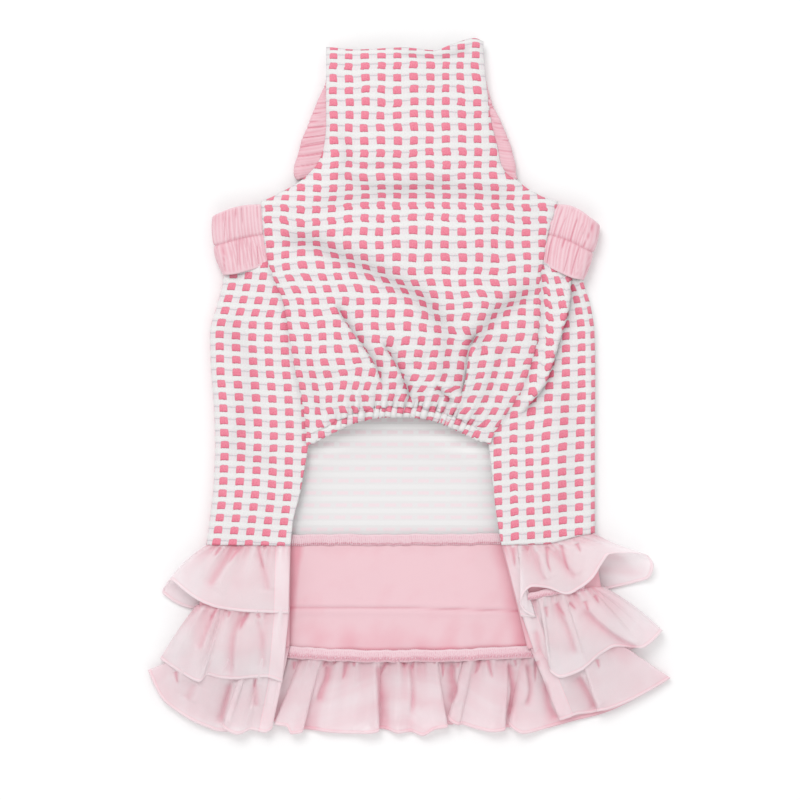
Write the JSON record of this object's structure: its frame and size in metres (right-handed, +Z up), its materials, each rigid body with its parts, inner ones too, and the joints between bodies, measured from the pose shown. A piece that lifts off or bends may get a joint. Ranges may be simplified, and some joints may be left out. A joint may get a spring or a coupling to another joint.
{
  "type": "dog dress",
  "caption": "Small dog's dress in pink check knit, lying belly side up, with ruched leg bands, gathered belly edge and a chiffon ruffle skirt.",
  "frame": {"origin": "on the flat underside of the back panel, below the chest, at the surface the dress lies on", "axes": "+X across the chest toward the viewer's right, +Y from the hem toward the neck, +Z up, out of the belly side"},
  "size_m": [0.2598, 0.3479, 0.0168],
  "materials": {
    "check_knit": "textured knit, rose pink squares on white with raised white cords",
    "ruched_jersey": "matte pink jersey gathered over elastic",
    "pink_jersey": "matte plain pink jersey",
    "overlock": "pale pink overlock thread",
    "chiffon": "sheer pale pink chiffon"
  },
  "bodies": {
    "root": {"back_panel": "check_knit", "chest_panel": "check_knit", "belly_casing": "check_knit", "leg_cuff_left": "ruched_jersey", "leg_cuff_right": "ruched_jersey", "neck_gusset_left": "ruched_jersey", "neck_gusset_right": "ruched_jersey", "skirt_base": "pink_jersey", "waist_seam": "overlock", "ruffle_seam": "overlock", "ruffle_top": "chiffon", "ruffle_middle": "chiffon", "ruffle_bottom": "chiffon"}
  },
  "joints": []
}
